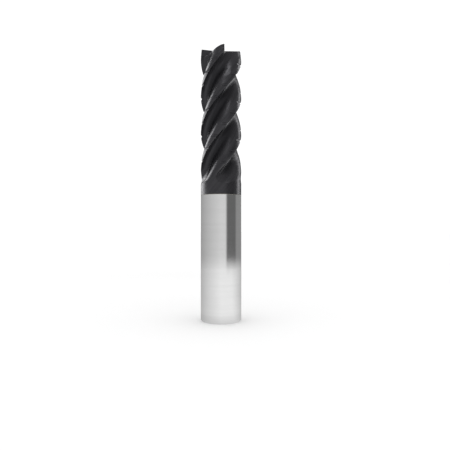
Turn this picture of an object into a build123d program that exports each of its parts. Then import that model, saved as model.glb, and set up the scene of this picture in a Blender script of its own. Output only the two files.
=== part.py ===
"""Four-flute centre-cutting end mill with a brazed carbide head.

Millimetres, +Z up. The tool stands on its shank end with the cutting end up, and
the origin is the centre of the shank's end face. The pieces are the ground shank,
the coated carbide cutting head, and the braze film between them.
"""
from build123d import *
import os
from math import atan, cos, pi, radians, sin, tan

os.makedirs("parts", exist_ok=True)

# Overall sizes: 3/4 in shank and cutting diameter, 5 in long, 2-1/4 in of cut
DIAMETER = 19.05
RADIUS = DIAMETER / 2
LENGTH = 127.0
FLUTE_LENGTH = 57.15
JOINT_Z = 59.0

# Shank end and brazed socket
END_CHAMFER = 0.6
CENTRE_HOLE_D = 4.0
CENTRE_DRILL_D = 1.6
CENTRE_DRILL_DEPTH = 3.4
CONE_DEPTH = (CENTRE_HOLE_D - CENTRE_DRILL_D) / 2 / tan(radians(30))
TENON_D = 11.0
TENON_LENGTH = 14.0
TENON_CHAMFER = 0.8
BRAZE_FILM = 0.15
BRAZE_RECESS = 0.05

# Helical flutes: right-hand helix, right-hand cut
LEAD = 3.62 * DIAMETER
HELIX = atan(pi * DIAMETER / LEAD)
TURN_PER_MM = 360 / LEAD
TEETH = 4
TOOTH_PITCH = 360 / TEETH
EDGE_ANGLE = -63.0
CORE = 0.62
MARGIN = 0.5
PRIMARY_WIDTH = 5.0
PRIMARY_RELIEF = 6.0
FLUTE_END = LENGTH - FLUTE_LENGTH
RUNOUT_RADIUS = 12.5
RUNOUT_LENGTH = 14.0
SECTION_STEP = 2.2
CUTTER_RADIUS = 1.22
RIM_OVERRUN = 6.0
RIM_STEPS = 8
RELIEF_RISE = 1.6
TIP_OVERRUN = 1.5

# End teeth: two long ones that meet at the centre, two short ones
CORNER_ANGLE = -80.0
CORNER_RADIUS = 0.968 * RADIUS
LONG_GASH_START = 0.15
SHORT_GASH_START = 1.5
GASH_SLOPE = 24.0
GASH_OPENING = 52.0
GASH_ROOT = 0.5
GASH_RISE = 12.0
LONG_GASH_DEPTH = 1.1
SHORT_GASH_DEPTH = 1.3
DISH = 2.5
END_RELIEF = 9.0
END_CLEARANCE = 22.0
END_LAND = 1.5
RELIEF_GAP = 6.0
GASH_OVERLAP = 0.6
CLEARANCE_OVERLAP = 0.01
RELIEF_REACH = 1.7 * RADIUS

# Chip-splitting notches ground across the cutting edges
NOTCH_PITCH = 5.4
NOTCH_RADIUS = 0.55
NOTCH_DEPTH = 0.35
NOTCH_TILT = 13.0
NOTCH_LENGTH = 8.0
NOTCH_LEAD_IN = 2.0
NOTCH_COUNT = 9
NOTCH_TOP = 6.5


def gullet_profile():
    """Rake face, root and the next tooth's back: radius fraction, degrees."""
    rake = [(1.09, 0.8), (1.0, 0.0), (0.90, -1.0), (0.79, -0.4), (0.70, 3.0)]
    root = [(0.64, 10.0), (CORE, 18.0), (0.622, 25.0)]
    back = [(0.72, 43.0), (0.85, 56.5), (0.94, 68.0), (0.980, 79.0)]
    return rake + root + back


def on_flute(fraction, angle, z):
    """Point of the flute's cutter, lifted clear of the stock along its run-out."""
    from_middle = radians(angle - TOOTH_PITCH / 2)
    past_end = (FLUTE_END - z) / cos(HELIX) - RADIUS * from_middle * sin(HELIX)
    lift = past_end ** 2 / (2 * RUNOUT_RADIUS) if past_end > 0 else 0
    radius = fraction * RADIUS + lift
    turned = radians(EDGE_ANGLE + angle + TURN_PER_MM * (z - LENGTH))
    return radius * cos(turned), radius * sin(turned)


def flute_section(z):
    """One cross-section of the flute's cutter, with the next tooth's relief."""
    edge = TOOTH_PITCH - MARGIN
    drop = radians(PRIMARY_WIDTH) * tan(radians(PRIMARY_RELIEF))
    relief_start = on_flute(1 - drop, edge - PRIMARY_WIDTH, z)
    relief_end = on_flute(1 + RELIEF_RISE * drop, edge + PRIMARY_WIDTH, z)
    rim_start = edge + PRIMARY_WIDTH
    rim_step = (rim_start + RIM_OVERRUN) / RIM_STEPS
    rim = [on_flute(CUTTER_RADIUS, rim_start - rim_step * i, z) for i in range(RIM_STEPS + 1)]
    gullet = [on_flute(radius, angle, z) for radius, angle in gullet_profile()]
    with BuildSketch(Plane.XY.offset(z)) as section:
        with BuildLine():
            Spline(*gullet)
            Line(gullet[-1], relief_start)
            Line(relief_start, relief_end)
            Line(relief_end, rim[0])
            Spline(*rim)
            Line(rim[-1], gullet[0])
        make_face()
    return section.sketch


def flute_cutter():
    """The volume that grinding one flute takes away."""
    bottom = FLUTE_END - RUNOUT_LENGTH
    top = LENGTH + TIP_OVERRUN
    count = round((top - bottom) / SECTION_STEP)
    levels = [bottom + (top - bottom) * i / count for i in range(count + 1)]
    with BuildPart() as cutter:
        loft(sections=[flute_section(z) for z in levels])
    return cutter.part


def tooth_frame(z):
    """Plane with X out along an end edge, Y ahead of the tooth, Z up."""
    angle = radians(CORNER_ANGLE)
    return Plane(origin=(0, 0, z), x_dir=(cos(angle), sin(angle), 0), z_dir=(0, 0, 1))


def end_gash(start, depth):
    """V-shaped gash in front of one end edge, deeper towards the outside."""
    frame = tooth_frame(LENGTH)
    slope = radians(GASH_SLOPE)
    along = frame.x_dir * cos(slope) - frame.z_dir * sin(slope)
    root = frame.from_local_coords(Vector(start, 0, -depth))
    width = GASH_RISE * tan(radians(GASH_OPENING))
    with BuildPart() as gash:
        with BuildSketch(Plane(origin=root, x_dir=frame.y_dir, z_dir=along)) as outline:
            with BuildLine():
                Polyline((0, 0), (width, GASH_RISE), (0, GASH_RISE), close=True)
            make_face()
            bottom = outline.vertices().sort_by_distance(root)[0]
            fillet(bottom, radius=GASH_ROOT)
        extrude(amount=2 * RADIUS)
    return gash.part


def end_relief(back, angle, ahead):
    """Everything above the relief plane that starts `back` mm behind one end edge."""
    frame = tooth_frame(LENGTH - CORNER_RADIUS * tan(radians(DISH)))
    tilt, dish = radians(angle), radians(DISH)
    drop = back * tan(radians(END_RELIEF))
    edge = frame.x_dir * cos(dish) + frame.z_dir * sin(dish)
    rising = frame.y_dir * cos(tilt) + frame.z_dir * sin(tilt)
    origin = frame.from_local_coords(Vector(0, -back, -drop))
    sweep_back = radians(TOOTH_PITCH - RELIEF_GAP)
    middle = (RELIEF_REACH * cos(sweep_back / 2), -RELIEF_REACH * sin(sweep_back / 2))
    last = (RELIEF_REACH * cos(sweep_back), -RELIEF_REACH * sin(sweep_back))
    with BuildPart() as relief:
        with BuildSketch(Plane(origin=origin, x_dir=edge, z_dir=edge.cross(rising))):
            with BuildLine():
                Polyline((0, 0), (0, ahead), (RELIEF_REACH, ahead), middle, last, close=True)
            make_face()
        extrude(amount=GASH_RISE)
    return relief.part


def notch(edge_angle, z):
    """Round channel across one cutting edge, running out on the land behind it."""
    turned = radians(edge_angle + TURN_PER_MM * (z - LENGTH))
    tilt = radians(NOTCH_TILT)
    outward = Vector(cos(turned), sin(turned), 0)
    forward = Vector(-sin(turned), cos(turned), 0)
    axis = forward * cos(tilt) + outward * sin(tilt)
    centre = outward * (RADIUS + NOTCH_RADIUS - NOTCH_DEPTH) + Vector(0, 0, z)
    front = centre + axis * NOTCH_LEAD_IN
    with BuildPart() as channel:
        with BuildSketch(Plane(origin=front, z_dir=axis * -1)):
            Circle(NOTCH_RADIUS)
        extrude(amount=NOTCH_LENGTH)
    return channel.part


def at_tooth(shape, tooth):
    """The shape turned from the first tooth to another one."""
    return shape.rotate(Axis.Z, tooth * TOOTH_PITCH)


# Cutting head: blank, flutes, end teeth, notches, tenon
flute = flute_cutter()
long_gash = end_gash(LONG_GASH_START, LONG_GASH_DEPTH)
short_gash = end_gash(SHORT_GASH_START, SHORT_GASH_DEPTH)
primary_relief = end_relief(0.0, END_RELIEF, GASH_OVERLAP)
clearance = end_relief(END_LAND, END_CLEARANCE, CLEARANCE_OVERLAP)
with BuildPart() as cutting_head:
    with BuildSketch(Plane.XY.offset(JOINT_Z)):
        Circle(RADIUS)
    extrude(amount=LENGTH - JOINT_Z)
    for tooth in range(TEETH):
        add(at_tooth(flute, tooth), mode=Mode.SUBTRACT)
    for tooth in range(TEETH):
        gash = short_gash if tooth % 2 else long_gash
        add(at_tooth(gash, tooth), mode=Mode.SUBTRACT)
    for tooth in range(TEETH):
        add(at_tooth(primary_relief, tooth), mode=Mode.SUBTRACT)
        add(at_tooth(clearance, tooth), mode=Mode.SUBTRACT)
    for tooth in range(TEETH):
        for k in range(NOTCH_COUNT):
            z = LENGTH - NOTCH_TOP - (k + tooth / TEETH) * NOTCH_PITCH
            add(notch(EDGE_ANGLE + tooth * TOOTH_PITCH, z), mode=Mode.SUBTRACT)
    with BuildSketch(Plane.XY.offset(JOINT_Z)):
        Circle(TENON_D / 2)
    extrude(amount=-TENON_LENGTH)
    tenon_end = cutting_head.faces().sort_by(Axis.Z)[0]
    chamfer(tenon_end.edges(), length=TENON_CHAMFER)
cutting_head.part.label = "cutting_head"
export_step(cutting_head.part, "parts/cutting_head.step")

# Shank: ground cylinder with a centre hole below and the socket above
with BuildPart() as shank:
    with BuildSketch():
        Circle(RADIUS)
    extrude(amount=JOINT_Z - BRAZE_FILM)
    chamfer(shank.faces().sort_by(Axis.Z)[0].edges(), length=END_CHAMFER)
    with BuildSketch(Plane.XY.offset(JOINT_Z - BRAZE_FILM)):
        Circle(TENON_D / 2 + BRAZE_FILM)
    extrude(amount=-TENON_LENGTH, mode=Mode.SUBTRACT)
    with BuildSketch(Plane.XZ):
        with BuildLine():
            Polyline(
                (0, 0),
                (CENTRE_HOLE_D / 2, 0),
                (CENTRE_DRILL_D / 2, CONE_DEPTH),
                (CENTRE_DRILL_D / 2, CENTRE_DRILL_DEPTH),
                (0, CENTRE_DRILL_DEPTH + CENTRE_DRILL_D / 4),
                close=True,
            )
        make_face()
    revolve(axis=Axis.Z, mode=Mode.SUBTRACT)
shank.part.label = "shank"
export_step(shank.part, "parts/shank.step")

# Braze: the thin cup of alloy between tenon and socket
with BuildPart() as braze_joint:
    with BuildSketch(Plane.XY.offset(JOINT_Z - BRAZE_FILM)):
        Circle(RADIUS - BRAZE_RECESS)
    extrude(amount=BRAZE_FILM)
    with BuildSketch(Plane.XY.offset(JOINT_Z)):
        Circle(TENON_D / 2 + BRAZE_FILM)
    extrude(amount=-TENON_LENGTH - BRAZE_FILM)
    with BuildSketch(Plane.XY.offset(JOINT_Z)):
        Circle(TENON_D / 2)
    tenon = extrude(amount=-TENON_LENGTH, mode=Mode.PRIVATE)
    chamfer_edge = tenon.faces().sort_by(Axis.Z)[0].edges()
    add(tenon.chamfer(TENON_CHAMFER, None, chamfer_edge), mode=Mode.SUBTRACT)
braze_joint.part.label = "braze_joint"
export_step(braze_joint.part, "parts/braze_joint.step")
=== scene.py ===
"""Looks for the end mill: materials, light, floor and camera, in metres."""

import math

import bpy
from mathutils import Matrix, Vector


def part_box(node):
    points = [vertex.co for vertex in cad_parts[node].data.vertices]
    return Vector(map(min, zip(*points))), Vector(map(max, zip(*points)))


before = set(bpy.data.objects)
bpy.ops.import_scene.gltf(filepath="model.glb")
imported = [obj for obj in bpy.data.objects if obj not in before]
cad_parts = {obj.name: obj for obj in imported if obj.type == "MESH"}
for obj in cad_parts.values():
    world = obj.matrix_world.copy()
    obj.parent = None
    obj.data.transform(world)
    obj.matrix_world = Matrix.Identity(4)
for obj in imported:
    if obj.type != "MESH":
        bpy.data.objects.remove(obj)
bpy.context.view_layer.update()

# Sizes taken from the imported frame
HEAD_LOW, HEAD_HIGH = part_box("cutting_head")
DIAMETER = HEAD_HIGH.x - HEAD_LOW.x
RADIUS = DIAMETER / 2
TOP = HEAD_HIGH.z
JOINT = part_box("braze_joint")[1].z
LEAD = 3.62 * DIAMETER
TWIST = 2 * math.pi / LEAD


def new_material(name, base, metallic, rough):
    """A Principled material with its plain values set on the shader's own sockets."""
    mat = bpy.data.materials.new(name)
    mat.use_nodes = True
    shader = mat.node_tree.nodes["Principled BSDF"]
    shader.inputs["Base Color"].default_value = (*base, 1)
    shader.inputs["Metallic"].default_value = metallic
    shader.inputs["Roughness"].default_value = rough
    return mat, shader


class Tree:
    """Short calls for building a node tree."""

    def __init__(self, mat):
        self.tree = mat.node_tree

    def node(self, kind, **values):
        made = self.tree.nodes.new(kind)
        for key, value in values.items():
            setattr(made, key, value)
        return made

    def link(self, source, target):
        self.tree.links.new(source, target)

    def put(self, socket, value):
        if hasattr(value, "links") or hasattr(value, "is_linked"):
            self.link(value, socket)
        else:
            socket.default_value = value

    def math(self, operation, a, b=0.0, clamp=False):
        made = self.node("ShaderNodeMath", operation=operation, use_clamp=clamp)
        self.put(made.inputs[0], a)
        self.put(made.inputs[1], b)
        return made.outputs[0]

    def position(self):
        return self.node("ShaderNodeTexCoord").outputs["Object"]

    def split(self, vector):
        made = self.node("ShaderNodeSeparateXYZ")
        self.link(vector, made.inputs[0])
        return made.outputs

    def scaled(self, vector, scale):
        made = self.node("ShaderNodeMapping")
        self.link(vector, made.inputs["Vector"])
        made.inputs["Scale"].default_value = scale
        return made.outputs[0]

    def noise(self, vector, scale, detail=3.0, rough=0.5):
        made = self.node("ShaderNodeTexNoise")
        self.link(vector, made.inputs["Vector"])
        made.inputs["Scale"].default_value = scale
        made.inputs["Detail"].default_value = detail
        made.inputs["Roughness"].default_value = rough
        return made.outputs["Fac"]

    def ramp(self, value, low, high, out_low=0.0, out_high=1.0):
        made = self.node("ShaderNodeMapRange", interpolation_type="SMOOTHSTEP")
        self.link(value, made.inputs["Value"])
        made.inputs["From Min"].default_value = low
        made.inputs["From Max"].default_value = high
        made.inputs["To Min"].default_value = out_low
        made.inputs["To Max"].default_value = out_high
        return made.outputs[0]

    def mix(self, factor, a, b):
        made = self.node("ShaderNodeMix", data_type="RGBA")
        self.put(made.inputs["Factor"], factor)
        for socket, value in ((made.inputs[6], a), (made.inputs[7], b)):
            if isinstance(value, tuple):
                socket.default_value = (*value, 1)
            else:
                self.link(value, socket)
        return made.outputs[2]

    def bump(self, height, strength, distance, normal=None):
        made = self.node("ShaderNodeBump")
        self.link(height, made.inputs["Height"])
        made.inputs["Strength"].default_value = strength
        made.inputs["Distance"].default_value = distance
        if normal is not None:
            self.link(normal, made.inputs["Normal"])
        return made.outputs[0]


def untwisted(tree):
    """Object position turned back along the helix, so a flute runs straight up Z."""
    position = tree.position()
    along = tree.split(position)[2]
    made = tree.node("ShaderNodeVectorRotate", rotation_type="Z_AXIS")
    tree.link(position, made.inputs["Vector"])
    tree.link(tree.math("MULTIPLY", along, -TWIST), made.inputs["Angle"])
    return made.outputs[0]


def radial_distance(tree):
    """Distance from the tool's axis."""
    x, y, _ = tree.split(tree.position())
    return tree.math("SQRT", tree.math("ADD", tree.math("MULTIPLY", x, x), tree.math("MULTIPLY", y, y)))


# Coating's colours, darkest first; the darkest is painted shade for the flute roots, not a colour of
# the coating
PAINTED_ROOT_SHADE = (0.008, 0.008, 0.010)
COATING_DARK = (0.026, 0.026, 0.030)
COATING_PLAIN = (0.040, 0.039, 0.043)
GRIND_LINE = (0.06, 0.06, 0.064)
COATING_STREAK = (0.058, 0.057, 0.062)
WORN_EDGE = (0.16, 0.16, 0.16)
COATING_IOR = 1.38

# Where each of its marks and its painted root shade lies: shares of the radius, and metres from the
# joint or tip
EDGE_WEAR = (0.985, 0.9995)
# Painted shade in the flute roots grows between these shares of the radius
ROOT_SHADE_RADII = (0.82, 0.60)
FLUTES_BEGIN = (0.008, 0.012)
# The painted root shade fades out between these distances below the tip
ROOT_SHADE_FADES = (0.005, 0.013)


def coating_wear(tree, radius, height, lines):
    """Worn coating on the cutting edges only, broken up along the grinding lines."""
    edge = tree.ramp(radius, RADIUS * EDGE_WEAR[0], RADIUS * EDGE_WEAR[1])
    in_flutes = tree.ramp(height, JOINT + FLUTES_BEGIN[0], JOINT + FLUTES_BEGIN[1])
    return tree.math("MULTIPLY", tree.math("MULTIPLY", edge, in_flutes), tree.ramp(lines, 0.35, 0.65))


def painted_flute_shade(tree, radius, height):
    """Painted shade for the flutes, darker the deeper in a flute, fading out below the end teeth."""
    below_end = tree.ramp(height, TOP - ROOT_SHADE_FADES[0], TOP - ROOT_SHADE_FADES[1])
    inside = tree.ramp(radius, RADIUS * ROOT_SHADE_RADII[0], RADIUS * ROOT_SHADE_RADII[1], 0.0, 0.7)
    return tree.math("MULTIPLY", inside, below_end)


def end_grinding(tree):
    """Straight grinding lines, on faces that look up only."""
    upward = tree.split(tree.node("ShaderNodeNewGeometry").outputs["Normal"])[2]
    on_end = tree.ramp(upward, 0.80, 0.92)
    grind = tree.noise(tree.scaled(tree.position(), (1, 0.03, 1)), 5200, 2, 0.6)
    return tree.math("MULTIPLY", on_end, tree.ramp(grind, 0.3, 0.7, 0, 0.6))


def coating_material():
    """Dark satin coating over ground carbide, the same from every side."""
    mat, shader = new_material("coated_carbide", (0.035, 0.035, 0.039), 0.6, 0.30)
    shader.inputs["IOR"].default_value = COATING_IOR
    tree = Tree(mat)
    flute_lines = tree.scaled(untwisted(tree), (1, 1, 0.02))
    fine = tree.noise(flute_lines, 2600, 3, 0.6)
    broad = tree.noise(flute_lines, 420, 2, 0.5)
    blotch = tree.noise(tree.position(), 160, 4, 0.55)
    radius = radial_distance(tree)
    height = tree.split(tree.position())[2]

    shade = tree.mix(blotch, COATING_DARK, COATING_PLAIN)
    shade = tree.mix(tree.ramp(broad, 0.35, 0.7, 0, 0.5), shade, COATING_STREAK)
    wear = coating_wear(tree, radius, height, fine)
    shade = tree.mix(tree.math("MULTIPLY", wear, 0.4), shade, WORN_EDGE)
    # Painted shade darkens the coating deep in the flute roots
    shade = tree.mix(painted_flute_shade(tree, radius, height), shade, PAINTED_ROOT_SHADE)
    shade = tree.mix(end_grinding(tree), shade, GRIND_LINE)
    tree.link(shade, shader.inputs["Base Color"])

    line_rough = tree.ramp(fine, 0.2, 0.8, 0.22, 0.34)
    rough = tree.math("ADD", line_rough, tree.ramp(blotch, 0.3, 0.7, 0.0, 0.06))
    tree.link(rough, shader.inputs["Roughness"])
    first = tree.bump(fine, 0.12, 0.000006)
    second = tree.bump(broad, 0.25, 0.00003, first)
    tree.link(second, shader.inputs["Normal"])
    return mat


def shank_material():
    """Ground and polished steel with faint rings round the axis."""
    mat, shader = new_material("ground_steel", (0.80, 0.80, 0.80), 1.0, 0.08)
    tree = Tree(mat)
    position = tree.position()
    rings = tree.noise(tree.scaled(position, (0.03, 0.03, 1)), 9000, 3, 0.7)
    bands = tree.noise(tree.scaled(position, (0.05, 0.05, 1)), 700, 2, 0.5)
    smudge = tree.noise(position, 120, 4, 0.6)
    shade = tree.mix(smudge, (0.77, 0.77, 0.77), (0.82, 0.82, 0.82))
    shade = tree.mix(tree.ramp(bands, 0.35, 0.65, 0, 0.3), shade, (0.74, 0.74, 0.74))
    tree.link(shade, shader.inputs["Base Color"])
    ring_rough = tree.ramp(rings, 0.25, 0.75, 0.06, 0.10)
    rough = tree.math("ADD", ring_rough, tree.ramp(smudge, 0.4, 0.75, 0, 0.04))
    tree.link(rough, shader.inputs["Roughness"])
    tree.link(tree.bump(rings, 0.15, 0.000004), shader.inputs["Normal"])
    return mat


def braze_material():
    """Dull silver-braze alloy."""
    mat, shader = new_material("silver_braze", (0.60, 0.57, 0.50), 1.0, 0.35)
    tree = Tree(mat)
    grain = tree.noise(tree.position(), 3000, 4, 0.6)
    tree.link(tree.mix(grain, (0.48, 0.45, 0.39), (0.66, 0.63, 0.55)), shader.inputs["Base Color"])
    tree.link(tree.ramp(grain, 0.3, 0.7, 0.28, 0.48), shader.inputs["Roughness"])
    tree.link(tree.bump(grain, 0.4, 0.00002), shader.inputs["Normal"])
    return mat


def dress(node, mat):
    """Puts one material on a carried-over CAD node."""
    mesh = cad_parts[node].data
    mesh.materials.clear()
    mesh.materials.append(mat)


dress("cutting_head", coating_material())
dress("shank", shank_material())
dress("braze_joint", braze_material())


def quad(name, corners, mat):
    """One flat four-cornered sheet that belongs to the studio."""
    mesh = bpy.data.meshes.new(name)
    mesh.from_pydata(corners, [], [(0, 1, 2, 3)])
    made = bpy.data.objects.new(name, mesh)
    bpy.context.scene.collection.objects.link(made)
    mesh.materials.append(mat)
    return made


# The floor lies a hair under the shank's end, and reflections see another floor instead
FLOOR_HALF = 3.0
FLOOR_Z = -0.00005
floor_white, _ = new_material("floor_white", (0.93, 0.93, 0.93), 0.0, 0.9)
corner_signs = ((-1, -1), (1, -1), (1, 1), (-1, 1))
floor_corners = [(x * FLOOR_HALF, y * FLOOR_HALF, FLOOR_Z) for x, y in corner_signs]
floor = quad("floor", floor_corners, floor_white)
floor.visible_glossy = False


# Soft tent round the tool, seen only in its reflections, in (azimuth, brightness)
# stops: 0 is the camera's side and positive is towards +X. The walls are soft white
# cloth, dimmer behind the tool, with one dark card standing on the right.
WALLS = (
    (-180, 0.3),
    (0, 0.75),
    (24, 0.75),
    (36, 0.15),
    (84, 0.15),
    (96, 0.3),
    (180, 0.3),
)
FLOOR_GLOW = (
    (-180, 0.4),
    (0, 1.0),
    (60, 1.0),
    (180, 0.4),
)
ROOF_GLOW = 0.4
TENT_RADIUS = 0.25
TENT_HEIGHT = 0.42
TENT_SIDES = 96
ROOF_START = 0.13
ROOF_FULL = 0.30
# The walls fade softly into the floor over this height
FOOT_HEIGHT = 0.015
# The reflected floor is this much darker against the tool, out to this distance
SHADE_DEPTH = 0.78
SHADE_REACH = 4 * RADIUS
MIRRORED_FLOOR_Z = -0.00004


def azimuth(tree):
    """Direction from the tool's axis as a share of a turn: 0.5 is the camera's side."""
    x, y, _ = tree.split(tree.position())
    angle = tree.math("ARCTAN2", x, tree.math("MULTIPLY", y, -1.0))
    return tree.math("ADD", tree.math("DIVIDE", angle, 2 * math.pi), 0.5)


def by_azimuth(tree, turn, stops):
    """Brightness read from a list of (degrees, value) stops."""
    ramp = tree.node("ShaderNodeValToRGB")
    tree.link(turn, ramp.inputs[0])
    elements = ramp.color_ramp.elements
    for index, (degrees, value) in enumerate(stops):
        at = (degrees + 180) / 360
        if index == 0:
            stop = elements[0]
        elif index == len(stops) - 1:
            stop = elements[-1]
        else:
            stop = elements.new(at)
        stop.position = at
        stop.color = (value, value, value, 1)
    return ramp.outputs[0]


def glowing(name, build):
    """Material that only glows, with the brightness that build() returns."""
    mat = bpy.data.materials.new(name)
    mat.use_nodes = True
    mat.node_tree.nodes.clear()
    tree = Tree(mat)
    glow = tree.node("ShaderNodeEmission")
    tree.link(build(tree), glow.inputs[0])
    out = tree.node("ShaderNodeOutputMaterial")
    tree.link(glow.outputs[0], out.inputs[0])
    return mat


def tent_glow(tree):
    """Walls that fade into the floor below and into an even roof above."""
    height = tree.split(tree.position())[2]
    turn = azimuth(tree)
    walls = by_azimuth(tree, turn, WALLS)
    low = by_azimuth(tree, turn, FLOOR_GLOW)
    sides = tree.mix(tree.ramp(height, 0, FOOT_HEIGHT), low, walls)
    roof = (ROOF_GLOW, ROOF_GLOW, ROOF_GLOW)
    return tree.mix(tree.ramp(height, ROOF_START, ROOF_FULL), sides, roof)


def floor_glow(tree):
    """Pale floor as the tool reflects it, a little shaded close to the tool."""
    x, y, _ = tree.split(tree.position())
    square = tree.math("ADD", tree.math("MULTIPLY", x, x), tree.math("MULTIPLY", y, y))
    shade = tree.ramp(tree.math("SQRT", square), RADIUS, SHADE_REACH, SHADE_DEPTH, 1.0)
    return tree.mix(shade, (0.0, 0.0, 0.0), by_azimuth(tree, azimuth(tree), FLOOR_GLOW))


def reflection_only(name, points, faces, mat):
    """Part of the studio that shows only in the tool's reflections."""
    mesh = bpy.data.meshes.new(name)
    mesh.from_pydata(points, [], faces)
    mesh.materials.append(mat)
    made = bpy.data.objects.new(name, mesh)
    bpy.context.scene.collection.objects.link(made)
    made.visible_camera = False
    made.visible_diffuse = False
    made.visible_shadow = False


def tent():
    """Cylinder of cloth round the tool and the camera, closed above, and its floor."""
    walls, sides = [], []
    for side in range(TENT_SIDES):
        a = 2 * math.pi * side / TENT_SIDES
        x, y = math.sin(a) * TENT_RADIUS, -math.cos(a) * TENT_RADIUS
        walls += [(x, y, 0.0), (x, y, TENT_HEIGHT)]
        low, following = 2 * side, 2 * ((side + 1) % TENT_SIDES)
        sides.append((low, following, following + 1, low + 1))
    roof = tuple(range(1, 2 * TENT_SIDES, 2))
    reflection_only("tent", walls, [*sides, roof], glowing("tent", tent_glow))
    ground = [(x, y, MIRRORED_FLOOR_Z) for x, y, _ in walls[::2]]
    whole = [tuple(range(TENT_SIDES))]
    reflection_only("mirrored_floor", ground, whole, glowing("mirrored_floor", floor_glow))


tent()


def soft_box(name, place, width, height, brightness):
    """Rectangular light aimed at the flutes, that lights only the cutting head."""
    data = bpy.data.lights.new(name, "AREA")
    data.shape = "RECTANGLE"
    data.size, data.size_y = width, height
    data.energy = brightness * math.pi * width * height
    made = bpy.data.objects.new(name, data)
    bpy.context.scene.collection.objects.link(made)
    made.location = place
    made.rotation_euler = (MIDDLE - Vector(place)).to_track_quat("-Z", "Y").to_euler()
    made.visible_camera = False
    made.light_linking.receiver_collection = head_only


# Soft boxes inside the tent: left and right, a little behind the tool, and overhead
MIDDLE = Vector((0, 0, TOP * 0.75))
head_only = bpy.data.collections.new("head_only")
head_only.objects.link(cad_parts["cutting_head"])
soft_box("left_box", (-0.165, 0.105, 0.12), 0.16, 0.24, 3.5)
soft_box("right_box", (0.175, 0.08, 0.12), 0.07, 0.24, 4)
soft_box("top_box", (-0.05, -0.08, 0.34), 0.12, 0.12, 4)

WORLD_BRIGHTNESS = 1.10
world = bpy.data.worlds.new("studio")
world.use_nodes = True
world.node_tree.nodes["Background"].inputs["Color"].default_value = (1, 1, 1, 1)
world.node_tree.nodes["Background"].inputs["Strength"].default_value = WORLD_BRIGHTNESS
bpy.context.scene.world = world

# Camera at the level of the shank's upper half, looking straight along +Y
CAMERA_X = 0.097 * DIAMETER
CAMERA_BACK = 12.17 * DIAMETER
CAMERA_HEIGHT = 2.36 * DIAMETER
CAMERA_LENS = 39.4
camera_data = bpy.data.cameras.new("camera")
camera_data.sensor_width = 36
camera_data.lens = CAMERA_LENS
camera_data.clip_start = 0.01
camera = bpy.data.objects.new("camera", camera_data)
bpy.context.scene.collection.objects.link(camera)
camera.location = (CAMERA_X, -CAMERA_BACK, CAMERA_HEIGHT)
camera.rotation_euler = (math.pi / 2, 0, 0)
bpy.context.scene.camera = camera
bpy.context.scene.view_settings.view_transform = "Standard"
